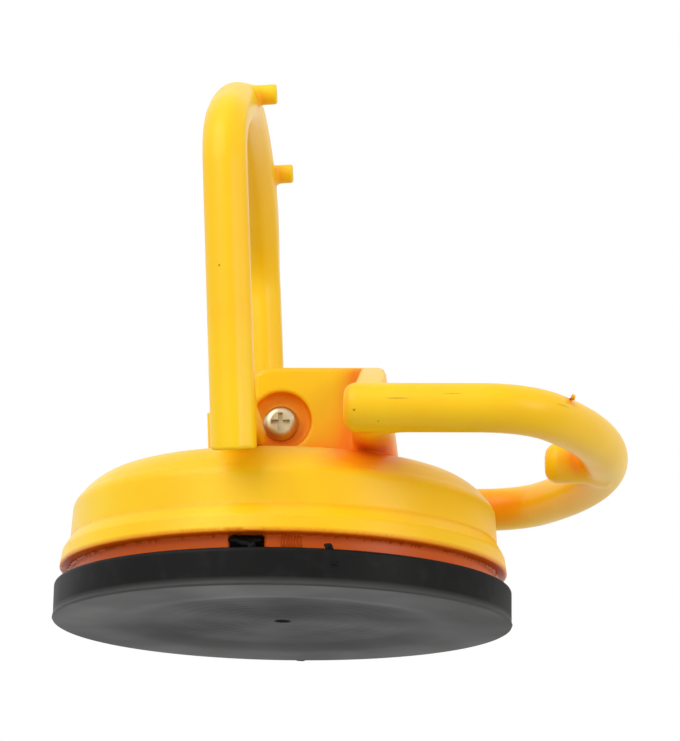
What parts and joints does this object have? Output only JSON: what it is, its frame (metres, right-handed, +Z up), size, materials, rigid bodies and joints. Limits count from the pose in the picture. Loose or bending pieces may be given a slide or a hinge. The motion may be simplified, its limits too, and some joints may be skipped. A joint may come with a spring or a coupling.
{
  "type": "floor tile suction lifter",
  "caption": "Hand lifter for raised-floor tiles: a flat rubber suction cup under a domed housing with a fixed ring handle and a ring lever that pulls the cup's centre up.",
  "frame": {"origin": "centre of the suction cup's underside, on the plane of its rim", "axes": "+Z up along the cup's axis, +X towards the fixed ring handle, +Y from the screw's head towards its nut"},
  "size_m": [0.1476, 0.1302, 0.1417],
  "materials": {
    "rubber": "matt moulded",
    "steel": "turned",
    "plated_steel": "zinc plated",
    "yellow_plastic": "satin moulded"
  },
  "bodies": {
    "base": {"housing": "yellow_plastic", "cup_pad": "rubber", "pivot_screw": "plated_steel", "pivot_nut": "plated_steel"},
    "lever": {"lever": "yellow_plastic"},
    "lifter": {"lift_stud": "steel", "backing_plate": "steel", "link_pin": "steel"}
  },
  "joints": [
    {"name": "lever_hinge", "type": "hinge", "parent": "base", "child": "lever", "pos_m": [0, 0, 0.0485], "axis": [0, 1, 0], "range_deg": [0, 91]},
    {"name": "stud_slide", "type": "slide", "parent": "base", "child": "lifter", "axis": [0, 0, 1], "range_m": [0, 0.004]}
  ],
  "couplings": [
    {"joint": "stud_slide", "follows": "lever_hinge", "m_per_rad": 0.002515}
  ]
}
